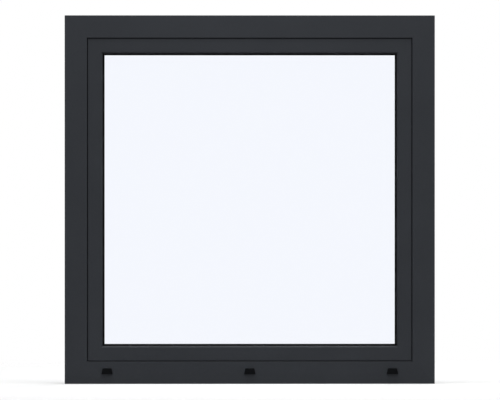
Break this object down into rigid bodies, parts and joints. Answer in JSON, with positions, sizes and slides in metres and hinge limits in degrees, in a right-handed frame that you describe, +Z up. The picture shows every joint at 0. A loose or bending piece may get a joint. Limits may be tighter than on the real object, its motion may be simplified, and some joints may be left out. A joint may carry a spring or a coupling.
{
  "type": "tilt and turn window",
  "caption": "Near-square tilt and turn window: thermally broken dark grey aluminium frame and sash, clear insulated glass, black drain caps on the sill and a lever handle on the room side.",
  "frame": {"origin": "middle of the flat underside of the sill's outer profile", "axes": "+X to the right seen from outside, +Y from outside into the room, +Z up"},
  "size_m": [0.9, 0.1425, 0.896],
  "materials": {
    "profile": "matt anthracite grey powder coat with a fine grain",
    "thermal_break": "black glass-filled polyamide",
    "glass": "clear float glass",
    "spacer": "dark warm-edge spacer",
    "sealant": "black polysulphide edge seal",
    "setting_block": "moulded plastic",
    "gasket": "black extruded rubber",
    "drain_cap": "black moulded plastic",
    "handle": "satin anodised",
    "hinge": "matt anthracite grey powder coat",
    "pin": "turned stainless steel"
  },
  "bodies": {
    "root": {"frame_outer_left": "profile", "frame_outer_right": "profile", "frame_outer_bottom": "profile", "frame_outer_top": "profile", "frame_inner_left": "profile", "frame_inner_right": "profile", "frame_inner_bottom": "profile", "frame_inner_top": "profile", "sash_outer_left": "profile", "sash_outer_right": "profile", "sash_outer_bottom": "profile", "sash_outer_top": "profile", "sash_inner_left": "profile", "sash_inner_right": "profile", "sash_inner_bottom": "profile", "sash_inner_top": "profile", "glazing_bead_left": "profile", "glazing_bead_right": "profile", "glazing_bead_bottom": "profile", "glazing_bead_top": "profile", "frame_thermal_bars_upright": "thermal_break", "frame_thermal_bars_level": "thermal_break", "sash_thermal_bars_upright": "thermal_break", "sash_thermal_bars_level": "thermal_break", "glass_outer_pane": "glass", "glass_inner_pane": "glass", "spacer_bar": "spacer", "edge_seal": "sealant", "glazing_blocks": "setting_block", "outer_glazing_gasket": "gasket", "inner_glazing_gasket": "gasket", "room_side_seal": "gasket", "centre_seal": "gasket", "drain_cap_left": "drain_cap", "drain_cap_middle": "drain_cap", "drain_cap_right": "drain_cap", "handle_rose": "handle", "handle_lever": "handle", "hinge_bottom_frame_knuckle": "hinge", "hinge_bottom_sash_knuckle": "hinge", "hinge_bottom_pin": "pin", "hinge_top_frame_knuckle": "hinge", "hinge_top_sash_knuckle": "hinge", "hinge_top_pin": "pin"}
  },
  "joints": []
}
